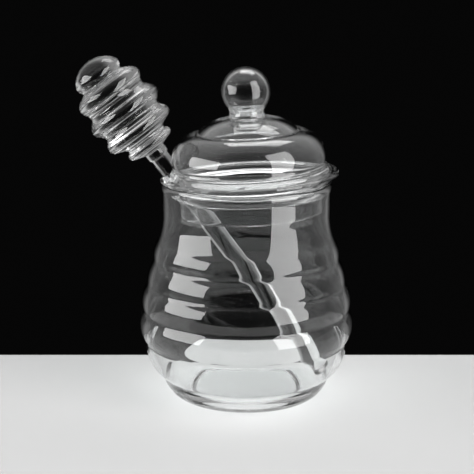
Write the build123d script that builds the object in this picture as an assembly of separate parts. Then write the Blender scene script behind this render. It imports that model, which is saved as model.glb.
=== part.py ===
"""Glass beehive honey jar with its domed lid and a glass honey dipper.

Three separate pieces: the blown jar, the lid with its knob and inner skirt, and
the solid dipper that leans through the lid's hole and over the jar's rim.

Millimetres, +Z up.  The origin is the centre of the foot on the standing plane,
-Y is the front.  Every section below is drawn as (radius, height) and turned
about its own axis.
"""
from build123d import *
import math
import os

# ---- jar ---------------------------------------------------------------------
JAR_HEIGHT = 92.0            # standing plane to the top of the lip
FOOT_RADIUS = 25.2           # outside of the flat ring on which the jar stands
FOOT_WIDTH = 2.0             # of that ring, with its rounded outer edge
FOOT_ROUND = 0.6
HEEL_RADIUS = 30.6           # where the bottom turns up into the body
HEEL_HEIGHT = 1.7
PUNT_RISE = 1.2              # how far the underside is pushed up at its centre
WALL = 1.9
FLOOR = 2.6                  # glass over the middle of the underside
NECK_RADIUS = 35.1
NECK_LENGTH = 12.0           # straight part below the lip
NECK_FLARE = 0.75            # hollow of the curve from the neck to the top rib
LIP_STAND_OUT = 0.5          # the lip beyond the neck
LIP_THICKNESS = 2.2
LIP_HEIGHT = 3.6
RIB_BOTTOM = 9.4             # height of the lowest groove
# Each rib rises from the groove below it: its height, the radius of the groove
# above it and how far it bulges past the straight line between the two grooves.
LOWEST_GROOVE_RADIUS = 35.3
RIBS = [(14.8, 42.2, 2.3), (13.2, 43.3, 2.3), (11.4, 41.7, 1.45), (10.2, 38.9, 0.85), (8.4, 37.2, 0.8)]
HEEL_BULGE = 0.8             # the plain zone between the foot and the lowest groove
GROOVE_FILLET = 1.6
INNER_SOFTENING = 0.85       # the inner face shows the ribs a little flatter

# ---- lid ---------------------------------------------------------------------
FLANGE_OVERHANG = 1.5        # flange edge beyond the jar's lip
FLANGE_THICKNESS = 1.8
FLANGE_SWEEP = 3.8           # height over which the flange sweeps up into the dome
SKIRT_CLEARANCE = 3.5        # skirt inside the jar's lip
SKIRT_WALL = 1.5
SKIRT_DEPTH = 15.6
SKIRT_BEAD = 1.1             # radius of the rounded bottom edge of the skirt
FLARE_DEPTH = 7.0            # the skirt widens towards the flange over this depth
FLARE_CLEARANCE = 1.1        # the flare's top edge beyond the lip's inner edge
DOME_STEP_IN = 5.4           # flange edge to the foot of the dome
DOME_HEIGHT = 19.2           # flange underside to the crease between the tiers
DOME_BULGE = 4.2
CREASE_RADIUS = 21.2
TIER_HEIGHT = 5.9            # crease to the collar of the knob
TIER_BULGE = 1.5
CREASE_FILLET = 0.6
LID_WALL = 1.6
KNOB_RADIUS = 10.1
KNOB_NECK_RADIUS = 7.2
COLLAR_RADIUS = 8.1
COLLAR_HEIGHT = 3.4
KNOB_WALL = 1.3
THROAT_RADIUS = 4.6          # hole of the hollow neck between the dome and the knob

# ---- dipper ------------------------------------------------------------------
STEM_RADIUS = 3.8
TIP_RADIUS = 1.7             # rounding of the stem's lower end
STEM_ABOVE_RIM = 9.4         # from the lip to the head's collar, along the stem
COLLAR_LENGTH = 3.4
DIPPER_COLLAR_RADIUS = 4.5
# The head, from the collar up: each disc's length along the stem, its radius and
# the radius of the groove above it.
DISCS = [(6.4, 10.5, 9.1), (8.9, 15.3, 12.9), (9.8, 16.4, 12.9), (10.4, 14.9, 9.3)]
CAP_RIM_LENGTH = 5.6
CAP_RIM_RADIUS = 10.6
CAP_DOME_RADIUS = 9.4        # where the rim turns into the cap's dome
CAP_DOME_HEIGHT = 4.1        # the dome is part of a ball centred on the stem's axis
HEAD_FILLET = 0.5

# ---- how the pieces sit --------------------------------------------------------
DIPPER_LEAN = 37.1           # degrees from upright
DIPPER_HEADING = 5.0         # degrees from -X towards +Y, where the head points
LID_SHIFT = 1.4              # the lid sits this far to +X of the jar's axis
LID_LEAN = 2.8               # degrees, its +X side up on its flare
REST_GAP = 0.25              # between pieces that rest on each other
HOLE_RADIUS = 6.0            # slanting hole in the lid for the stem
HOLE_GAP = 0.4               # stem to the outer side of that hole

LIP_OUTER_RADIUS = NECK_RADIUS + LIP_STAND_OUT
LIP_INNER_RADIUS = LIP_OUTER_RADIUS - LIP_THICKNESS
LIP_ROUND = LIP_THICKNESS / 2
LIP_MID_RADIUS = LIP_INNER_RADIUS + LIP_ROUND
LIP_ROUND_HEIGHT = JAR_HEIGHT - LIP_ROUND


def bowed(start, end, bulge):
    """An arc from start to end that stands off their chord, outwards if bulge > 0."""
    dx, dy = end[0] - start[0], end[1] - start[1]
    length = math.hypot(dx, dy)
    middle = ((start[0] + end[0]) / 2 + bulge * dy / length, (start[1] + end[1]) / 2 - bulge * dx / length)
    return ThreePointArc(start, middle, end)


def turned(edges, rounded=()):
    """Turn a closed (radius, height) outline about +Z; rounded lists (corner, radius)."""
    face = make_face(edges)
    for corner, radius in rounded:
        spot = Vector(corner[0], corner[1])
        vertex = min(face.vertices(), key=lambda v: (Vector(v.X, v.Y) - spot).length)
        face = fillet(vertex, radius)
    return revolve(Plane.XZ * face, Axis.Z)


def groove_points(inset):
    """The grooves between the ribs, from the lowest up, moved inwards by inset."""
    height = RIB_BOTTOM
    points = [(LOWEST_GROOVE_RADIUS - inset, height)]
    for rise, radius, _ in RIBS:
        height += rise
        points.append((radius - inset, height))
    return points


def rib_arcs(points, share):
    """One bulging arc for each rib, with the given share of the rib's full bulge."""
    return [bowed(a, b, rib[2] * share) for a, b, rib in zip(points, points[1:], RIBS)]


def jar_inside():
    """The jar's inner outline from the middle of the floor to the foot of the lip."""
    points = groove_points(WALL)
    neck = (NECK_RADIUS - WALL, JAR_HEIGHT - NECK_LENGTH)
    floor = (0, PUNT_RISE + FLOOR)
    corner = (HEEL_RADIUS - 1.5 * WALL, PUNT_RISE + FLOOR)
    edges = [Line(floor, corner), bowed(corner, points[0], HEEL_BULGE)]
    edges += rib_arcs(points, INNER_SOFTENING)
    edges.append(bowed(points[-1], neck, -NECK_FLARE))
    edges.append(Line(neck, (LIP_INNER_RADIUS, LIP_ROUND_HEIGHT)))
    return edges, points, corner


def make_jar():
    inside, inner_points, corner = jar_inside()
    points = groove_points(0)
    neck = (NECK_RADIUS, JAR_HEIGHT - NECK_LENGTH)
    under_lip = (NECK_RADIUS, JAR_HEIGHT - LIP_HEIGHT)
    lip_side = (LIP_OUTER_RADIUS, JAR_HEIGHT - LIP_HEIGHT + LIP_STAND_OUT)
    lip_out = (LIP_OUTER_RADIUS, LIP_ROUND_HEIGHT)
    lip_in = (LIP_INNER_RADIUS, LIP_ROUND_HEIGHT)
    foot = (FOOT_RADIUS, 0)
    foot_in = (FOOT_RADIUS - FOOT_WIDTH, 0)
    heel = (HEEL_RADIUS, HEEL_HEIGHT)
    punt = (foot_in[0] - PUNT_RISE, PUNT_RISE)
    outline = [Line((0, PUNT_RISE), punt), Line(punt, foot_in), Line(foot_in, foot)]
    outline.append(bowed(foot, heel, HEEL_BULGE / 2))
    outline.append(bowed(heel, points[0], HEEL_BULGE))
    outline += rib_arcs(points, 1)
    outline.append(bowed(points[-1], neck, -NECK_FLARE))
    outline += [Line(neck, under_lip), Line(under_lip, lip_side), Line(lip_side, lip_out)]
    outline.append(ThreePointArc(lip_out, (LIP_MID_RADIUS, JAR_HEIGHT), lip_in))
    outline += inside
    outline.append(Line((0, PUNT_RISE), (0, PUNT_RISE + FLOOR)))
    rounded = [(p, GROOVE_FILLET) for p in points[:-1]]
    rounded += [(p, GROOVE_FILLET) for p in inner_points[:-1]]
    rounded += [(foot, FOOT_ROUND), (punt, FOOT_ROUND), (corner, WALL)]
    return turned(outline, rounded)


def make_lid():
    """The lid upright, its flange's underside at height 0."""
    edge = LIP_OUTER_RADIUS + FLANGE_OVERHANG
    skirt = LIP_INNER_RADIUS - SKIRT_CLEARANCE
    bore = skirt - SKIRT_WALL
    foot = edge - DOME_STEP_IN
    flange_round = FLANGE_THICKNESS / 2
    crease = (CREASE_RADIUS, DOME_HEIGHT)
    collar = (COLLAR_RADIUS, DOME_HEIGHT + TIER_HEIGHT)
    neck = (KNOB_NECK_RADIUS, collar[1] + COLLAR_HEIGHT)
    knob_drop = math.sqrt(KNOB_RADIUS ** 2 - KNOB_NECK_RADIUS ** 2)
    knob_middle = neck[1] + knob_drop
    hollow = KNOB_RADIUS - KNOB_WALL
    hollow_drop = math.sqrt(hollow ** 2 - THROAT_RADIUS ** 2)
    sweep_top = (foot, FLANGE_THICKNESS + FLANGE_SWEEP)
    flange_top = (edge - flange_round, FLANGE_THICKNESS)
    throat = (THROAT_RADIUS, collar[1] - LID_WALL)
    inner_crease = (CREASE_RADIUS - LID_WALL, DOME_HEIGHT - LID_WALL)
    inner_foot = (foot - LID_WALL, FLANGE_SWEEP)
    inner_waist = (bore, -FLARE_DEPTH)
    bead_top = SKIRT_BEAD * 2 - SKIRT_DEPTH
    skirt_middle = (skirt + bore) / 2
    outline = [
        # outer face, from the flange's rounded edge up over both tiers to the knob's top
        ThreePointArc((edge - flange_round, 0), (edge, flange_round), flange_top),
        bowed(flange_top, sweep_top, -FLANGE_SWEEP / 5),
        bowed(sweep_top, crease, DOME_BULGE),
        bowed(crease, collar, TIER_BULGE),
        bowed(collar, neck, -COLLAR_HEIGHT / 6),
        ThreePointArc(neck, (KNOB_RADIUS, knob_middle), (0, knob_middle + KNOB_RADIUS)),
        # inner face, back down through the throat and the dome to the skirt
        Line((0, knob_middle + KNOB_RADIUS), (0, knob_middle + hollow)),
        ThreePointArc(
            (0, knob_middle + hollow), (hollow, knob_middle), (THROAT_RADIUS, knob_middle - hollow_drop)
        ),
        Line((THROAT_RADIUS, knob_middle - hollow_drop), throat),
        bowed(throat, inner_crease, -TIER_BULGE),
        bowed(inner_crease, inner_foot, -DOME_BULGE),
        bowed(inner_foot, inner_waist, LID_WALL),
        Line(inner_waist, (bore, bead_top)),
        # the bead at the skirt's bottom edge, then the skirt's outer face and its flare
        bowed((bore, bead_top), (skirt_middle, -SKIRT_DEPTH), SKIRT_BEAD / 2),
        bowed((skirt_middle, -SKIRT_DEPTH), (skirt, bead_top), SKIRT_BEAD / 2),
        Line((skirt, bead_top), (skirt, -FLARE_DEPTH)),
        Line((skirt, -FLARE_DEPTH), (LIP_INNER_RADIUS + FLARE_CLEARANCE, 0)),
        Line((LIP_INNER_RADIUS + FLARE_CLEARANCE, 0), (edge - flange_round, 0)),
    ]
    rounded = [(crease, CREASE_FILLET), (inner_crease, CREASE_FILLET), (collar, CREASE_FILLET)]
    rounded.append(((skirt, -FLARE_DEPTH), 2 * CREASE_FILLET))
    return turned(outline, rounded)


def make_dipper(stem_length):
    """The dipper upright, its tip's lowest point at height 0."""
    outline = [
        Line((0, 0), (STEM_RADIUS, 0)),
        Line((STEM_RADIUS, 0), (STEM_RADIUS, stem_length)),
        Line((STEM_RADIUS, stem_length), (DIPPER_COLLAR_RADIUS, stem_length)),
        Line((DIPPER_COLLAR_RADIUS, stem_length), (DIPPER_COLLAR_RADIUS, stem_length + COLLAR_LENGTH)),
    ]
    at = (DIPPER_COLLAR_RADIUS, stem_length + COLLAR_LENGTH)
    grooves = []
    for length, radius, groove in DISCS:
        end = (groove, at[1] + length)
        outline.append(ThreePointArc(at, (radius, at[1] + length / 2), end))
        grooves.append(end)
        at = end
    rim = (CAP_DOME_RADIUS, at[1] + CAP_RIM_LENGTH)
    top = rim[1] + CAP_DOME_HEIGHT
    outline.append(ThreePointArc(at, (CAP_RIM_RADIUS, at[1] + CAP_RIM_LENGTH / 2), rim))
    ball = (CAP_DOME_RADIUS ** 2 + CAP_DOME_HEIGHT ** 2) / (2 * CAP_DOME_HEIGHT)
    half_angle = math.asin(CAP_DOME_RADIUS / ball) / 2
    halfway = (ball * math.sin(half_angle), top - ball * (1 - math.cos(half_angle)))
    outline.append(ThreePointArc(rim, halfway, (0, top)))
    outline.append(Line((0, top), (0, 0)))
    rounded = [((STEM_RADIUS, 0), TIP_RADIUS)] + [(g, HEAD_FILLET) for g in grooves]
    return turned(outline, rounded)


def resting_stem():
    """Where the stem lies in its own upright plane (reach, height).

    Reach is measured from the jar's axis towards the head.  The stem passes over
    the rounded lip and its rounded tip comes down on the jar's inner face.
    Returns the tip's point and the length from there to the lip.
    """
    lean = math.radians(DIPPER_LEAN)
    along = Vector(math.sin(lean), math.cos(lean))
    across = Vector(-math.cos(lean), math.sin(lean))
    over_lip = Vector(LIP_MID_RADIUS, LIP_ROUND_HEIGHT) + across * (LIP_ROUND + REST_GAP + STEM_RADIUS)
    inside = Wire([edge.mirror(Plane.YZ) for edge in jar_inside()[0]])

    def clearance(distance):
        tip = over_lip - along * distance
        centres = [tip + along * TIP_RADIUS + across * side for side in (TIP_RADIUS - STEM_RADIUS, 0,
                                                                        STEM_RADIUS - TIP_RADIUS)]
        return min(inside.distance_to(Vertex(c.X, c.Y, 0)) for c in centres) - TIP_RADIUS

    near = STEM_RADIUS
    far = near
    while clearance(far) > REST_GAP:
        far += REST_GAP
    near = far - REST_GAP
    for _ in range(12):
        middle = (near + far) / 2
        if clearance(middle) > REST_GAP:
            near = middle
        else:
            far = middle
    return over_lip - along * near, near


def in_dipper_frame(shape, tip, offset=0.0):
    """Lean an upright shape along the stem; offset moves it square to the stem, inwards."""
    lean = math.radians(DIPPER_LEAN)
    reach = tip.X - offset * math.cos(lean)
    height = tip.Y + offset * math.sin(lean)
    heading = Rot(0, 0, 180 - DIPPER_HEADING)
    return heading * Pos(reach, 0, height) * Rot(0, DIPPER_LEAN, 0) * shape


def seat_lid(lid):
    """Set the lid on the lip: down on its -X side, up on its flare at +X, pushed to +X."""
    edge = LIP_OUTER_RADIUS
    lift = edge * math.sin(math.radians(LID_LEAN))
    return Pos(LID_SHIFT, 0, JAR_HEIGHT + REST_GAP + lift) * Rot(0, -LID_LEAN, 0) * lid


def main():
    os.makedirs("parts", exist_ok=True)
    tip, to_lip = resting_stem()
    stem_length = to_lip + STEM_ABOVE_RIM
    hole = in_dipper_frame(
        Pos(0, 0, to_lip - 2 * SKIRT_DEPTH)
        * Cylinder(HOLE_RADIUS, 5 * SKIRT_DEPTH, align=(Align.CENTER, Align.CENTER, Align.MIN)),
        tip,
        HOLE_RADIUS - STEM_RADIUS - HOLE_GAP,
    )
    export_step(make_jar(), "parts/jar.step")
    export_step(seat_lid(make_lid()) - hole, "parts/lid.step")
    export_step(in_dipper_frame(make_dipper(stem_length), tip), "parts/dipper.step")
    print("stem from tip to lip", round(to_lip, 2), "tip at", tip)


if __name__ == "__main__":
    main()
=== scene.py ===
"""A clear glass beehive honey jar with its domed lid and a glass honey dipper.

Each piece is drawn as half of its own section and spun about its axis, as glass
is blown in a turning mould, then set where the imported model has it.
"""

import logging
import math
from dataclasses import dataclass, field
from enum import Enum

import bpy
from mathutils import Matrix, Vector


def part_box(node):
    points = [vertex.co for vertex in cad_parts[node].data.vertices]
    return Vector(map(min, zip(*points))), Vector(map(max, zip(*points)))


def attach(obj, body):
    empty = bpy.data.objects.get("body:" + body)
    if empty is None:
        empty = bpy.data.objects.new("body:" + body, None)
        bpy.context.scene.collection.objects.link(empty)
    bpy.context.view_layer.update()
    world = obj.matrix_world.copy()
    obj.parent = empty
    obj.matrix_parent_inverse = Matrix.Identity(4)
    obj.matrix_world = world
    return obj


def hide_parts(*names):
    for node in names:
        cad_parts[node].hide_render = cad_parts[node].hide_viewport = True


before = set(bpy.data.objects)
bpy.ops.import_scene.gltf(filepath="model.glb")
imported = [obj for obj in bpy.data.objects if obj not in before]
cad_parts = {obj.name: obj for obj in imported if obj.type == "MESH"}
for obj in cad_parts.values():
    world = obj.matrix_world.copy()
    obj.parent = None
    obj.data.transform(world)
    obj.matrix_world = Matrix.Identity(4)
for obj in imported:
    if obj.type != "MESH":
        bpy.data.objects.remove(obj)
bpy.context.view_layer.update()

MM = 0.001
LOG = logging.getLogger("honey_jar")
Point = tuple[float, float]
Colour = tuple[float, float, float]

STRAIGHT = 1e-6  # a run that bows less than this is straight
SHORTEST = 1e-9  # stands in for the length of a run that has none
SOFTENING_REACH = 3  # how far the rounding of a corner looks, in softnesses
WELD = 2e-6  # vertices nearer than this, in metres, become one


class Slot(Enum):
    """The glass materials' slots, whose names the materials take."""

    JAR = "jar_glass"
    LID = "lid_glass"
    DIPPER = "dipper_glass"


# ---- outlines ------------------------------------------------------------------


@dataclass
class Outline:
    """Half of a turned piece's section, as (radius, height) points in millimetres.

    Attributes:
        points: The way drawn so far.
        step: The greatest distance between the points of a run.
    """

    points: list[Point]
    step: float = 0.25

    def line_to(self, radius: float, height: float) -> "Outline":
        """Add a straight run.

        Args:
            radius: The end's distance from the axis.
            height: The end's height.

        Returns:
            This outline.
        """
        return self.bow_to(radius, height, 0.0)

    def bow_to(self, radius: float, height: float, bulge: float) -> "Outline":
        """Add a run that bows sideways off its chord, to the right of its way if bulge > 0.

        Args:
            radius: The end's distance from the axis.
            height: The end's height.
            bulge: How far the middle stands off the chord.

        Returns:
            This outline.
        """
        start = Vector(self.points[-1])
        chord = Vector((radius, height)) - start
        side = Vector((chord.y, -chord.x)).normalized()
        count = max(2, math.ceil(chord.length / self.step))
        if abs(bulge) > STRAIGHT:
            arc_radius = (chord.length_squared / 4 + bulge * bulge) / (2 * bulge)
            centre = start + chord / 2 + side * (bulge - arc_radius)
            spoke = start - centre
            turn = 2 * math.asin(max(-1.0, min(1.0, chord.length / 2 / arc_radius)))
            if abs(bulge) > chord.length / 2:
                turn = math.copysign(2 * math.pi, turn) - turn
            for index in range(1, count + 1):
                spun = Matrix.Rotation(turn * index / count, 2) @ spoke
                self.points.append(tuple(centre + spun))
        else:
            for index in range(1, count + 1):
                self.points.append(tuple(start + chord * index / count))
        self.points[-1] = (radius, height)
        return self

    def fire_polished(self, softness: float, spacing: float) -> list[Point]:
        """Round every corner a little and space the points evenly.

        Args:
            softness: Half-width of the rounding, in millimetres.
            spacing: Distance between the returned points.

        Returns:
            The points from the axis back to the axis.
        """
        even = _evenly(self.points, self.step)
        reach = math.ceil(SOFTENING_REACH * softness / self.step)
        mirrored = [(-r, z) for r, z in reversed(even[1 : reach + 1])]
        mirrored += even + [(-r, z) for r, z in reversed(even[-reach - 1 : -1])]
        weights = [
            math.exp(-0.5 * (offset * self.step / softness) ** 2)
            for offset in range(-reach, reach + 1)
        ]
        total = sum(weights)
        soft = []
        for index in range(len(even)):
            near = mirrored[index : index + 2 * reach + 1]
            soft.append(
                tuple(sum(w * p[axis] for w, p in zip(weights, near)) / total for axis in (0, 1))
            )
        soft[0] = (0.0, soft[0][1])
        soft[-1] = (0.0, soft[-1][1])
        return _evenly(soft, spacing)


def _evenly(points: list[Point], spacing: float) -> list[Point]:
    """Walk along points and drop a new one every spacing.

    Args:
        points: The way to walk.
        spacing: About how far apart the new points are.

    Returns:
        The new points, with the first and last kept.
    """
    lengths = [math.dist(a, b) for a, b in zip(points, points[1:])]
    total = sum(lengths)
    count = max(2, round(total / spacing))
    placed = [points[0]]
    walked, index = 0.0, 0
    for number in range(1, count):
        goal = total * number / count
        while index < len(lengths) - 1 and walked + lengths[index] < goal:
            walked += lengths[index]
            index += 1
        share = (goal - walked) / max(lengths[index], SHORTEST)
        a, b = points[index], points[index + 1]
        placed.append((a[0] + (b[0] - a[0]) * share, a[1] + (b[1] - a[1]) * share))
    placed.append(points[-1])
    return placed


# ---- modelling -----------------------------------------------------------------


def deselect_all() -> None:
    """Leave nothing selected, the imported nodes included."""
    if bpy.context.object and bpy.context.object.mode != "OBJECT":
        bpy.ops.object.mode_set(mode="OBJECT")
    bpy.ops.object.select_all(action="DESELECT")


def spun_piece(name: str, outline: list[Point], segments: int) -> bpy.types.Object:
    """Draw an outline point by point and spin it about the Z axis.

    Args:
        name: The piece's name.
        outline: (radius, height) points in millimetres, from the axis to the axis.
        segments: How many steps the full turn has.

    Returns:
        The closed, smooth-shaded piece, upright at the origin.
    """
    deselect_all()
    start = Vector((outline[0][0], 0, outline[0][1])) * MM
    bpy.ops.mesh.primitive_plane_add(size=MM, location=start)
    piece = bpy.context.object
    bpy.ops.object.transform_apply(location=True, rotation=True, scale=True)
    piece.name = name
    piece.data.name = name
    bpy.ops.object.mode_set(mode="EDIT")
    bpy.ops.mesh.select_mode(type="VERT")
    bpy.ops.mesh.select_all(action="SELECT")
    bpy.ops.mesh.merge(type="CENTER")
    for (r0, z0), (r1, z1) in zip(outline, outline[1:]):
        step = ((r1 - r0) * MM, 0, (z1 - z0) * MM)
        bpy.ops.mesh.extrude_region_move(TRANSFORM_OT_translate={"value": step})
    bpy.ops.mesh.select_all(action="SELECT")
    bpy.ops.mesh.spin(steps=segments, angle=2 * math.pi, center=(0, 0, 0), axis=(0, 0, 1))
    bpy.ops.mesh.select_all(action="SELECT")
    bpy.ops.mesh.remove_doubles(threshold=WELD)
    bpy.ops.mesh.normals_make_consistent(inside=False)
    bpy.ops.object.mode_set(mode="OBJECT")
    bpy.ops.object.shade_smooth()
    return piece


def place(piece: bpy.types.Object, turn: Matrix, node: str) -> Matrix:
    """Turn an upright piece and centre its box on its node's box.

    Args:
        piece: The upright piece.
        turn: How it leans and heads.
        node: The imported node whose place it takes.

    Returns:
        The whole move, turn first.
    """
    deselect_all()
    piece.select_set(True)
    bpy.context.view_layer.objects.active = piece
    piece.matrix_world = turn
    bpy.ops.object.transform_apply(location=True, rotation=True, scale=True)
    low = Vector([min(v.co[axis] for v in piece.data.vertices) for axis in range(3)])
    high = Vector([max(v.co[axis] for v in piece.data.vertices) for axis in range(3)])
    node_low, node_high = (Vector(corner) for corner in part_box(node))
    shift = (node_low + node_high - low - high) / 2
    piece.location = shift
    bpy.ops.object.transform_apply(location=True, rotation=True, scale=True)
    return Matrix.Translation(shift) @ turn


def hand_in(piece: bpy.types.Object, node: str) -> None:
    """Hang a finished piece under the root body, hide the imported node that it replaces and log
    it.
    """
    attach(piece, "root")
    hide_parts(node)
    LOG.info("%s: %d faces, for node %s", piece.name, len(piece.data.polygons), node)


# ---- finishes ------------------------------------------------------------------

WAVE_INPUTS = {"Wave Scale": 30.0, "Streak Scale": 9.0, "Streak Share": 0.4, "Mark Scale": 60.0}
WAVE_DETAIL = 1.0
STREAK_DETAIL = 2.0
MARK_DETAIL = 5.0
LEVEL_STREAKS = (1.0, 1.0, 6.0)
SMUDGE_FROM, SMUDGE_TO = 0.56, 0.74


def noise(nodes: bpy.types.Nodes, detail: float) -> bpy.types.ShaderNode:
    """Add a noise texture.

    Args:
        nodes: The tree's nodes.
        detail: How many finer layers it has.

    Returns:
        The noise node.
    """
    made = nodes.new("ShaderNodeTexNoise")
    made.inputs["Detail"].default_value = detail
    return made


def two_tones(nodes: bpy.types.Nodes, colour: Colour, shade: float) -> bpy.types.ShaderNode:
    """Add a mix between a colour and a slightly darker one.

    Args:
        nodes: The tree's nodes.
        colour: The lighter colour.
        shade: The darker colour's share of the lighter.

    Returns:
        The mix node.
    """
    made = nodes.new("ShaderNodeMix")
    made.data_type = "RGBA"
    made.inputs["A"].default_value = (*colour, 1.0)
    made.inputs["B"].default_value = (*(shade * part for part in colour), 1.0)
    return made


def waves_group() -> bpy.types.NodeTree:
    """Build the shader group for the slow waves and fine marks in blown glass.

    Returns:
        The group, with a Height output and a Smudge mask.
    """
    name = "blown_glass_waves"
    if name in bpy.data.node_groups:
        return bpy.data.node_groups[name]
    tree = bpy.data.node_groups.new(name, "ShaderNodeTree")
    face = tree.interface
    face.new_socket("Vector", in_out="INPUT", socket_type="NodeSocketVector")
    for title, value in WAVE_INPUTS.items():
        socket = face.new_socket(title, in_out="INPUT", socket_type="NodeSocketFloat")
        socket.default_value = value
    for title in ("Height", "Smudge"):
        face.new_socket(title, in_out="OUTPUT", socket_type="NodeSocketFloat")
    nodes, links = tree.nodes, tree.links
    inputs, outputs = nodes.new("NodeGroupInput"), nodes.new("NodeGroupOutput")

    waves = noise(nodes, WAVE_DETAIL)
    flatten = nodes.new("ShaderNodeMapping")
    flatten.inputs["Scale"].default_value = LEVEL_STREAKS
    streaks = noise(nodes, STREAK_DETAIL)
    blend = nodes.new("ShaderNodeMix")
    links.new(inputs.outputs["Vector"], waves.inputs["Vector"])
    links.new(inputs.outputs["Wave Scale"], waves.inputs["Scale"])
    links.new(inputs.outputs["Vector"], flatten.inputs["Vector"])
    links.new(flatten.outputs["Vector"], streaks.inputs["Vector"])
    links.new(inputs.outputs["Streak Scale"], streaks.inputs["Scale"])
    links.new(inputs.outputs["Streak Share"], blend.inputs["Factor"])
    links.new(waves.outputs["Fac"], blend.inputs["A"])
    links.new(streaks.outputs["Fac"], blend.inputs["B"])
    links.new(blend.outputs["Result"], outputs.inputs["Height"])

    marks = noise(nodes, MARK_DETAIL)
    mask = nodes.new("ShaderNodeMapRange")
    mask.inputs["From Min"].default_value = SMUDGE_FROM
    mask.inputs["From Max"].default_value = SMUDGE_TO
    links.new(inputs.outputs["Vector"], marks.inputs["Vector"])
    links.new(inputs.outputs["Mark Scale"], marks.inputs["Scale"])
    links.new(marks.outputs["Fac"], mask.inputs["Value"])
    links.new(mask.outputs["Result"], outputs.inputs["Smudge"])
    return tree


@dataclass(frozen=True)
class BlownGlass:
    """Clear glass with slow waves in it and a few faint smudges.

    Attributes:
        slot: The slot that this finish belongs to, whose name the material takes.
        wave_scale: Waves per metre, roughly.
        streak_share: How much of the relief is level streaks rather than waves.
        relief: Depth of the waves in metres.
        smudge_roughness: Roughness inside a smudge.
        smudge_shade: How much of the light a smudge lets by, next to clear glass.
        tint: The glass's colour.
        shadow_tint: How much of a lamp's light goes straight through.
        index_of_refraction: How strongly it bends light.
    """

    slot: Slot
    wave_scale: float
    streak_share: float
    relief: float
    smudge_roughness: float
    smudge_shade: float = 0.97
    tint: Colour = (0.985, 0.99, 0.99)
    shadow_tint: Colour = (0.86, 0.87, 0.87)
    index_of_refraction: float = 1.47

    def material(self) -> bpy.types.Material:
        """Build the material.

        Returns:
            A node material that lets lamps shine through.
        """
        made = bpy.data.materials.new(self.slot.value)
        made.use_nodes = True
        shader = made.node_tree.nodes["Principled BSDF"]
        shader.inputs["Transmission Weight"].default_value = 1.0
        shader.inputs["Metallic"].default_value = 0.0
        shader.inputs["IOR"].default_value = self.index_of_refraction
        self._wave(made.node_tree, shader)
        self._let_lamps_through(made.node_tree, shader)
        return made

    def _wave(self, tree: bpy.types.NodeTree, shader: bpy.types.ShaderNode) -> None:
        """Give the glass its waves and smudges.

        Args:
            tree: The material's nodes and links.
            shader: The glass's shader.
        """
        nodes, links = tree.nodes, tree.links
        place_on = nodes.new("ShaderNodeTexCoord")
        mapping = nodes.new("ShaderNodeMapping")
        waves = nodes.new("ShaderNodeGroup")
        waves.node_tree = waves_group()
        waves.inputs["Wave Scale"].default_value = self.wave_scale
        waves.inputs["Streak Share"].default_value = self.streak_share
        bump = nodes.new("ShaderNodeBump")
        bump.inputs["Strength"].default_value = 1.0
        bump.inputs["Distance"].default_value = self.relief
        rough = nodes.new("ShaderNodeMapRange")
        rough.inputs["To Min"].default_value = 0.0
        rough.inputs["To Max"].default_value = self.smudge_roughness
        colour = two_tones(nodes, self.tint, self.smudge_shade)
        links.new(place_on.outputs["Object"], mapping.inputs["Vector"])
        links.new(mapping.outputs["Vector"], waves.inputs["Vector"])
        links.new(waves.outputs["Height"], bump.inputs["Height"])
        links.new(bump.outputs["Normal"], shader.inputs["Normal"])
        links.new(waves.outputs["Smudge"], rough.inputs["Value"])
        links.new(rough.outputs["Result"], shader.inputs["Roughness"])
        links.new(waves.outputs["Smudge"], colour.inputs["Factor"])
        links.new(colour.outputs["Result"], shader.inputs["Base Color"])

    def _let_lamps_through(self, tree: bpy.types.NodeTree, shader: bpy.types.ShaderNode) -> None:
        """Make the glass cast a light shadow in place of a black one.

        Args:
            tree: The material's nodes and links.
            shader: The glass's shader.
        """
        nodes, links = tree.nodes, tree.links
        clear = nodes.new("ShaderNodeBsdfTransparent")
        clear.inputs["Color"].default_value = (*self.shadow_tint, 1.0)
        path = nodes.new("ShaderNodeLightPath")
        pick = nodes.new("ShaderNodeMixShader")
        links.new(path.outputs["Is Shadow Ray"], pick.inputs["Fac"])
        links.new(shader.outputs["BSDF"], pick.inputs[1])
        links.new(clear.outputs["BSDF"], pick.inputs[2])
        links.new(pick.outputs["Shader"], nodes["Material Output"].inputs["Surface"])

    def dress(self, piece: bpy.types.Object) -> None:
        """Give a piece this finish only."""
        piece.data.materials.clear()
        piece.data.materials.append(self.material())


# ---- the pieces ----------------------------------------------------------------


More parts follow.
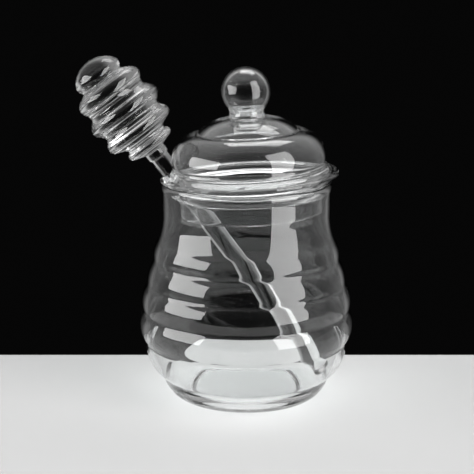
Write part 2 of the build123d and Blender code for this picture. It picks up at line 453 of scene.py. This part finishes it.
@dataclass
class Jar:
    """The blown jar: foot, ribbed body, straight neck and rounded lip (millimetres)."""

    height: float = 92.0
    foot_radius: float = 25.2
    foot_width: float = 2.0
    foot_bulge: float = 0.4
    heel: Point = (30.6, 1.7)
    heel_bulge: float = 0.8
    punt_rise: float = 1.2
    wall: float = 1.9
    floor: float = 2.6
    floor_inset_walls: float = 1.5
    neck_radius: float = 35.1
    neck_length: float = 12.0
    neck_flare: float = 0.75
    lip_radius: float = 35.6
    lip_thickness: float = 2.2
    lip_height: float = 3.6
    lowest_groove: Point = (35.3, 9.4)
    # height of each rib, radius of the groove above it, bulge
    ribs: list[tuple[float, float, float]] = field(
        default_factory=lambda: [
            (14.8, 42.2, 2.3),
            (13.2, 43.3, 2.3),
            (11.4, 41.7, 1.45),
            (10.2, 38.9, 0.85),
            (8.4, 37.2, 0.8),
        ]
    )
    inner_softening: float = 0.85
    softness: float = 0.5
    spacing: float = 0.8
    segments: int = 224
    finish: BlownGlass = BlownGlass(Slot.JAR, 24.0, 0.35, 0.0006, 0.05)

    def body_points(self, inset: float) -> list[Point]:
        """List the grooves from the lowest up.

        Args:
            inset: How far they are moved inwards.

        Returns:
            Each groove's radius and height.
        """
        radius, height = self.lowest_groove
        found = [(radius - inset, height)]
        for rise, groove, _ in self.ribs:
            height += rise
            found.append((groove - inset, height))
        return found

    def outline(self) -> Outline:
        """Draw the section from under the foot, up the outside and down the inside.

        Returns:
            The outline, from the axis to the axis.
        """
        flat = self.foot_radius - self.foot_width
        drawn = Outline([(0.0, self.punt_rise)])
        drawn.line_to(flat - self.punt_rise, self.punt_rise).line_to(flat, 0.0)
        drawn.line_to(self.foot_radius, 0.0).bow_to(*self.heel, self.foot_bulge)
        grooves = self.body_points(0.0)
        drawn.bow_to(*grooves[0], self.heel_bulge)
        for groove, rib in zip(grooves[1:], self.ribs):
            drawn.bow_to(*groove, rib[2])
        drawn.bow_to(self.neck_radius, self.height - self.neck_length, -self.neck_flare)
        drawn.line_to(self.neck_radius, self.height - self.lip_height)
        under = self.lip_radius - self.neck_radius
        drawn.line_to(self.lip_radius, self.height - self.lip_height + under)
        half = self.lip_thickness / 2
        drawn.line_to(self.lip_radius, self.height - half)
        drawn.bow_to(self.lip_radius - self.lip_thickness, self.height - half, half)
        inner = self.body_points(self.wall)
        drawn.line_to(self.neck_radius - self.wall, self.height - self.neck_length)
        drawn.bow_to(*inner[-1], self.neck_flare)
        for groove, rib in zip(reversed(inner[:-1]), reversed(self.ribs)):
            drawn.bow_to(*groove, -rib[2] * self.inner_softening)
        floor_top = self.punt_rise + self.floor
        drawn.bow_to(self.heel[0] - self.floor_inset_walls * self.wall, floor_top, -self.heel_bulge)
        return drawn.line_to(0.0, floor_top)

    def build(self) -> None:
        """Make, dress and hand in the jar."""
        outline = self.outline().fire_polished(self.softness, self.spacing)
        piece = spun_piece("jar_body", outline, self.segments)
        self.finish.dress(piece)
        hand_in(piece, "jar")


@dataclass
class Lid:
    """The two-tier dome with its hollow ball knob, flange and inner skirt (millimetres)."""

    flange_radius: float = 37.1
    flange_thickness: float = 1.8
    flange_sweep: float = 3.8
    flange_flatness: float = 5.0
    skirt_radius: float = 29.9
    skirt_wall: float = 1.5
    skirt_depth: float = 15.6
    skirt_bead: float = 1.1
    flare_depth: float = 7.0
    flare_radius: float = 34.5
    dome_step_in: float = 5.4
    dome_height: float = 19.2
    dome_bulge: float = 4.2
    crease_radius: float = 21.2
    tier_height: float = 5.9
    tier_bulge: float = 1.5
    wall: float = 1.6
    knob_radius: float = 10.1
    knob_neck_radius: float = 7.2
    collar_radius: float = 8.1
    collar_height: float = 3.4
    collar_flatness: float = 6.0
    knob_wall: float = 1.3
    throat_radius: float = 4.6
    lean: float = 2.8
    softness: float = 0.35
    spacing: float = 0.65
    segments: int = 224
    finish: BlownGlass = BlownGlass(Slot.LID, 30.0, 0.25, 0.0005, 0.04)

    def outline(self) -> Outline:
        """Draw the section from the knob's top down the outside and back up inside.

        Returns:
            The outline, from the axis to the axis.
        """
        foot = self.flange_radius - self.dome_step_in
        half = self.flange_thickness / 2
        collar_z = self.dome_height + self.tier_height
        neck_z = collar_z + self.collar_height
        middle = neck_z + math.sqrt(self.knob_radius**2 - self.knob_neck_radius**2)
        hollow = self.knob_radius - self.knob_wall
        hollow_low = middle - math.sqrt(hollow**2 - self.throat_radius**2)
        bore = self.skirt_radius - self.skirt_wall
        bead_top = 2 * self.skirt_bead - self.skirt_depth
        drawn = Outline([(0.0, middle + self.knob_radius)])
        drawn.bow_to(self.knob_radius, middle, -_quarter_bulge(self.knob_radius))
        drop = middle - neck_z
        chord = math.hypot(self.knob_radius - self.knob_neck_radius, drop)
        drawn.bow_to(self.knob_neck_radius, neck_z, -_sagitta(chord, self.knob_radius))
        drawn.bow_to(self.collar_radius, collar_z, self.collar_height / self.collar_flatness)
        drawn.bow_to(self.crease_radius, self.dome_height, -self.tier_bulge)
        drawn.bow_to(foot, self.flange_thickness + self.flange_sweep, -self.dome_bulge)
        sweep = self.flange_sweep / self.flange_flatness
        drawn.bow_to(self.flange_radius - half, self.flange_thickness, sweep)
        drawn.bow_to(self.flange_radius - half, 0.0, -half)
        drawn.line_to(self.flare_radius, 0.0).line_to(self.skirt_radius, -self.flare_depth)
        drawn.line_to(self.skirt_radius, bead_top)
        drawn.bow_to(bore, bead_top, -self.skirt_bead)
        drawn.line_to(bore, -self.flare_depth)
        drawn.bow_to(foot - self.wall, self.flange_sweep, -self.wall)
        crease = (self.crease_radius - self.wall, self.dome_height - self.wall)
        drawn.bow_to(*crease, self.dome_bulge)
        drawn.bow_to(self.throat_radius, collar_z - self.wall, self.tier_bulge)
        drawn.line_to(self.throat_radius, hollow_low)
        chord = math.hypot(hollow - self.throat_radius, middle - hollow_low)
        drawn.bow_to(hollow, middle, _sagitta(chord, hollow))
        return drawn.bow_to(0.0, middle + hollow, _quarter_bulge(hollow))

    def build(self, hole: "StemHole", pose: Matrix, stem_radius: float) -> None:
        """Make, pierce, dress and hand in the lid.

        Args:
            hole: The slanting hole for the dipper's stem.
            pose: Where the dipper lies.
            stem_radius: The dipper's stem radius.
        """
        outline = self.outline().fire_polished(self.softness, self.spacing)
        piece = spun_piece("lid_body", outline, self.segments)
        place(piece, Matrix.Rotation(math.radians(-self.lean), 4, "Y"), "lid")
        hole.pierce(piece, pose, stem_radius)
        self.finish.dress(piece)
        hand_in(piece, "lid")


def _quarter_bulge(radius: float) -> float:
    """Return how far a quarter of a circle stands off its chord."""
    return radius * (1 - math.sqrt(0.5))


def _sagitta(chord: float, radius: float) -> float:
    """Return how far an arc of this radius stands off a chord."""
    return radius - math.sqrt(radius * radius - chord * chord / 4)


@dataclass
class Dipper:
    """The solid dipper: stem, collar, four discs and a domed cap (millimetres)."""

    stem_radius: float = 3.8
    stem_length: float = 114.91
    tip_inset: float = 1.0
    tip_bulge: float = 0.4
    collar_radius: float = 4.5
    collar_length: float = 3.4
    # length along the stem, radius, radius of the groove above
    discs: list[tuple[float, float, float]] = field(
        default_factory=lambda: [
            (6.4, 10.5, 9.1),
            (8.9, 15.3, 12.9),
            (9.8, 16.4, 12.9),
            (10.4, 14.9, 9.3),
        ]
    )
    rim_bulge: float = 1.5
    flank_share: float = 0.22
    cap_bulge: float = 0.5
    cap_rim: Point = (10.6, 5.6)
    cap_dome: Point = (9.4, 4.1)
    lean: float = 37.1
    heading: float = -5.0
    softness: float = 0.2
    spacing: float = 0.5
    segments: int = 160
    finish: BlownGlass = BlownGlass(Slot.DIPPER, 45.0, 0.2, 0.0001, 0.02)

    def turn(self) -> Matrix:
        """Return the turn from upright to leaning along its heading."""
        heading = Matrix.Rotation(math.radians(180 + self.heading), 4, "Z")
        return heading @ Matrix.Rotation(math.radians(self.lean), 4, "Y")

    def outline(self) -> Outline:
        """Draw the section from the tip to the top of the cap.

        Returns:
            The outline, from the axis to the axis.
        """
        drawn = Outline([(0.0, 0.0)])
        drawn.line_to(self.stem_radius - self.tip_inset, 0.0)
        drawn.bow_to(self.stem_radius, self.tip_inset, self.tip_bulge)
        drawn.line_to(self.stem_radius, self.stem_length)
        drawn.line_to(self.collar_radius, self.stem_length)
        height = self.stem_length + self.collar_length
        drawn.line_to(self.collar_radius, height)
        rim_radius, rim_length = self.cap_rim
        dome_radius, dome_height = self.cap_dome
        rings = [(*disc, self.rim_bulge) for disc in self.discs]
        for length, radius, groove, bulge in (
            *rings,
            (rim_length, rim_radius, dome_radius, self.cap_bulge),
        ):
            shoulder, flank = radius - bulge, length * self.flank_share
            drawn.line_to(shoulder, height + flank)
            drawn.bow_to(shoulder, height + length - flank, bulge)
            drawn.line_to(groove, height + length)
            height += length
        ball = (dome_radius**2 + dome_height**2) / (2 * dome_height)
        chord = math.hypot(dome_radius, dome_height)
        return drawn.bow_to(0.0, height + dome_height, _sagitta(chord, ball))

    def build(self) -> Matrix:
        """Make, dress and hand in the dipper.

        Returns:
            Where it lies: the move from upright, with its tip at the origin.
        """
        outline = self.outline().fire_polished(self.softness, self.spacing)
        piece = spun_piece("dipper_body", outline, self.segments)
        pose = place(piece, self.turn(), "dipper")
        self.finish.dress(piece)
        hand_in(piece, "dipper")
        return pose


@dataclass
class StemHole:
    """The round hole, slanting along the stem, that lets the dipper out of the lid."""

    radius: float = 6.0
    gap: float = 0.4
    length: float = 78.0
    from_tip: float = 74.3
    sides: int = 72
    crease_angle: float = 40.0

    def pierce(self, lid: bpy.types.Object, pose: Matrix, stem_radius: float) -> None:
        """Cut the hole through the lid.

        Args:
            lid: The seated lid.
            pose: Where the dipper lies, its tip at the origin before.
            stem_radius: The stem's radius, which lies against the hole's outer side.
        """
        aside = stem_radius + self.gap - self.radius
        along = self.from_tip + self.length / 2
        centre = pose @ Matrix.Translation(Vector((aside, 0, along)) * MM)
        deselect_all()
        bpy.ops.mesh.primitive_cylinder_add(
            vertices=self.sides, radius=self.radius * MM, depth=self.length * MM
        )
        cutter = bpy.context.object
        cutter.matrix_world = centre
        bpy.ops.object.transform_apply(location=True, rotation=True, scale=True)
        deselect_all()
        lid.select_set(True)
        bpy.context.view_layer.objects.active = lid
        cut = lid.modifiers.new("stem_hole", "BOOLEAN")
        cut.operation = "DIFFERENCE"
        cut.solver = "EXACT"
        cut.object = cutter
        bpy.ops.object.modifier_apply(modifier=cut.name)
        bpy.data.objects.remove(cutter)
        bpy.ops.object.shade_smooth_by_angle(angle=math.radians(self.crease_angle))


# ---- the stage -----------------------------------------------------------------


def smooth_step(nodes: bpy.types.Nodes, span: Point, values: Point) -> bpy.types.ShaderNode:
    """Add a node that goes smoothly from one value to another.

    Args:
        nodes: The tree's nodes.
        span: Where the change begins and ends.
        values: What comes out before and after it.

    Returns:
        The map range node.
    """
    made = nodes.new("ShaderNodeMapRange")
    made.interpolation_type = "SMOOTHSTEP"
    made.inputs["From Min"].default_value, made.inputs["From Max"].default_value = span
    made.inputs["To Min"].default_value, made.inputs["To Max"].default_value = values
    return made


@dataclass(frozen=True)
class SoftBox:
    """A soft box that hangs around the jar and faces it.

    Attributes:
        name: The lamp's name.
        azimuth: Degrees from the front towards +X.
        height: Its centre's height in metres.
        distance: Its distance from the jar's axis in metres.
        size: Width and height in metres.
        power: Watts.
        seen: Whether it shows through the glass too, and not only mirrored in it.
    """

    name: str
    azimuth: float
    height: float
    distance: float
    size: Point
    power: float
    seen: bool = False

    def hang(self, aim_height: float) -> None:
        """Put the lamp in the scene, aimed at this height on the jar's axis."""
        lamp = bpy.data.lights.new(self.name, "AREA")
        lamp.shape = "RECTANGLE"
        lamp.size, lamp.size_y = self.size
        lamp.energy = self.power
        holder = bpy.data.objects.new(self.name, lamp)
        holder.visible_transmission = self.seen
        bpy.context.scene.collection.objects.link(holder)
        around = math.radians(self.azimuth)
        across, along = math.sin(around) * self.distance, -math.cos(around) * self.distance
        holder.location = Vector((across, along, self.height))
        aim = Vector((0, 0, aim_height)) - holder.location
        holder.rotation_euler = aim.to_track_quat("-Z", "Y").to_euler()


@dataclass
class TableTop:
    """The pale matt table top that the jar stands on (metres)."""

    front: float = -0.18
    back: float = 0.055
    half_width: float = 0.35
    thickness: float = 0.02
    edge: float = 0.003
    edge_steps: int = 3
    colour: Colour = (0.50, 0.50, 0.50)
    mottle: float = 0.97
    mottle_scale: float = 14.0
    roughness: float = 0.9
    shine: float = 0.1

    def build(self) -> None:
        """Make the slab with its rounded edges and put it on the stage."""
        deselect_all()
        middle = (self.front + self.back) / 2
        bpy.ops.mesh.primitive_cube_add(size=1, location=(0, middle, -self.thickness / 2))
        top = bpy.context.object
        top.name = "table_top"
        top.scale = (2 * self.half_width, self.back - self.front, self.thickness)
        bpy.ops.object.transform_apply(location=True, rotation=True, scale=True)
        bpy.ops.object.mode_set(mode="EDIT")
        bpy.ops.mesh.select_all(action="SELECT")
        bpy.ops.mesh.bevel(offset=self.edge, segments=self.edge_steps)
        bpy.ops.object.mode_set(mode="OBJECT")
        top.data.materials.append(self.material())

    def material(self) -> bpy.types.Material:
        """Build the matt finish.

        Returns:
            The material, very slightly mottled.
        """
        made = bpy.data.materials.new("pale_matt")
        made.use_nodes = True
        nodes, links = made.node_tree.nodes, made.node_tree.links
        shader = nodes["Principled BSDF"]
        shader.inputs["Roughness"].default_value = self.roughness
        shader.inputs["Specular IOR Level"].default_value = self.shine
        coords = nodes.new("ShaderNodeTexCoord")
        grain = nodes.new("ShaderNodeTexNoise")
        grain.inputs["Scale"].default_value = self.mottle_scale
        colour = two_tones(nodes, self.colour, self.mottle)
        links.new(coords.outputs["Object"], grain.inputs["Vector"])
        links.new(grain.outputs["Fac"], colour.inputs["Factor"])
        links.new(colour.outputs["Result"], shader.inputs["Base Color"])
        return made


@dataclass
class Surround:
    """Soft light all round the jar, all but a dark backdrop behind it.

    Attributes:
        backdrop: The backdrop's brightness.
        backdrop_core: Cosine of the angle from straight back where it is darkest.
        backdrop_edge: Cosine of the angle where it has turned into the tent.
        tent: Brightness of the tent at the sides.
        behind_camera: Brightness of the tent's open end.
        level_share: The tent's share of its brightness at the jar's level and below.
        overhead_share: Its share from overhead_from upwards.
        overhead_from: Sine of the angle above the level.
        fill_light: The even light that falls on matt things.
    """

    backdrop: float = 0.002
    backdrop_core: float = 0.93
    backdrop_edge: float = 0.78
    tent: float = 0.28
    behind_camera: float = 0.02
    level_share: float = 0.7
    overhead_share: float = 2.4
    overhead_from: float = 0.6
    fill_light: float = 0.10

    def build(self) -> None:
        """Make the world: tent and backdrop for the glass, an even fill for the rest."""
        made = bpy.data.worlds.new("studio")
        bpy.context.scene.world = made
        made.use_nodes = True
        nodes, links = made.node_tree.nodes, made.node_tree.links
        strength = nodes.new("ShaderNodeMapRange")
        strength.inputs["To Min"].default_value = self.fill_light
        links.new(self._seen_rays(made.node_tree), strength.inputs["Value"])
        links.new(self._brightness(made.node_tree), strength.inputs["To Max"])
        back = nodes["Background"]
        back.inputs["Color"].default_value = (1.0, 1.0, 1.0, 1.0)
        links.new(strength.outputs["Result"], back.inputs["Strength"])

    def _seen_rays(self, tree: bpy.types.NodeTree) -> bpy.types.NodeSocket:
        """Tell the rays that see the surround from those that only light matt things.

        Args:
            tree: The world's nodes and links.

        Returns:
            1 for a camera, glossy or transmission ray, else 0.
        """
        path = tree.nodes.new("ShaderNodeLightPath")
        found = path.outputs["Is Camera Ray"]
        for kind in ("Is Glossy Ray", "Is Transmission Ray"):
            either = tree.nodes.new("ShaderNodeMath")
            either.operation = "MAXIMUM"
            tree.links.new(found, either.inputs[0])
            tree.links.new(path.outputs[kind], either.inputs[1])
            found = either.outputs["Value"]
        return found

    def _brightness(self, tree: bpy.types.NodeTree) -> bpy.types.NodeSocket:
        """Work out the surround's brightness in each direction.

        Args:
            tree: The world's nodes and links.

        Returns:
            The brightness.
        """
        nodes, links = tree.nodes, tree.links
        coords = nodes.new("ShaderNodeTexCoord")
        split = nodes.new("ShaderNodeSeparateXYZ")
        links.new(coords.outputs["Generated"], split.inputs["Vector"])
        around = smooth_step(nodes, (-self.backdrop_core, 0.0), (self.behind_camera, self.tent))
        links.new(split.outputs["Y"], around.inputs["Value"])
        up = smooth_step(nodes, (0.0, self.overhead_from), (self.level_share, self.overhead_share))
        links.new(split.outputs["Z"], up.inputs["Value"])
        tent = nodes.new("ShaderNodeMath")
        tent.operation = "MULTIPLY"
        links.new(around.outputs["Result"], tent.inputs[0])
        links.new(up.outputs["Result"], tent.inputs[1])
        edge = (self.backdrop_edge, self.backdrop_core)
        shade = smooth_step(nodes, edge, (self.tent, self.backdrop))
        links.new(tent.outputs["Value"], shade.inputs["To Min"])
        links.new(split.outputs["Y"], shade.inputs["Value"])
        return shade.outputs["Result"]


@dataclass
class Camera:
    """The camera in front of the jar, a little above it (metres, degrees)."""

    distance: float = 0.600
    height: float = 0.2062
    aside: float = -0.0039
    pitch: float = 12.97
    lens_mm: float = 111.9
    sensor_mm: float = 36.0

    def build(self) -> None:
        """Stand the camera, looking slightly down."""
        eye = bpy.data.cameras.new("camera")
        eye.lens = self.lens_mm
        eye.sensor_width = self.sensor_mm
        holder = bpy.data.objects.new("camera", eye)
        bpy.context.scene.collection.objects.link(holder)
        holder.location = (self.aside, -self.distance, self.height)
        holder.rotation_euler = (math.radians(90 - self.pitch), 0, 0)
        bpy.context.scene.camera = holder


@dataclass
class Studio:
    """The table top, the surround, the soft boxes and the camera."""

    soft_boxes: tuple[SoftBox, ...] = (
        SoftBox("left_box", -72.0, 0.24, 0.75, (0.72, 0.42), 8.6),
        SoftBox("right_box", 50.0, 0.30, 0.85, (0.60, 1.40), 22.0),
        SoftBox("top_box", 170.0, 0.75, 0.35, (0.5, 0.3), 1.6, seen=True),
    )
    aim_height: float = 0.07
    glass_bounces: int = 28
    glossy_bounces: int = 12
    clear_bounces: int = 16

    def build(self) -> None:
        """Set up everything around the jar."""
        TableTop().build()
        Surround().build()
        for box in self.soft_boxes:
            box.hang(self.aim_height)
        Camera().build()
        scene = bpy.context.scene
        scene.view_settings.view_transform = "Standard"
        scene.cycles.max_bounces = self.glass_bounces
        scene.cycles.transmission_bounces = self.glass_bounces
        scene.cycles.glossy_bounces = self.glossy_bounces
        scene.cycles.transparent_max_bounces = self.clear_bounces


def main() -> None:
    """Build the pieces in order, then the studio."""
    logging.basicConfig(level=logging.INFO, format="%(name)s: %(message)s")
    Jar().build()
    dipper = Dipper()
    pose = dipper.build()
    Lid().build(StemHole(), pose, dipper.stem_radius)
    Studio().build()


if __name__ == "__main__":
    main()
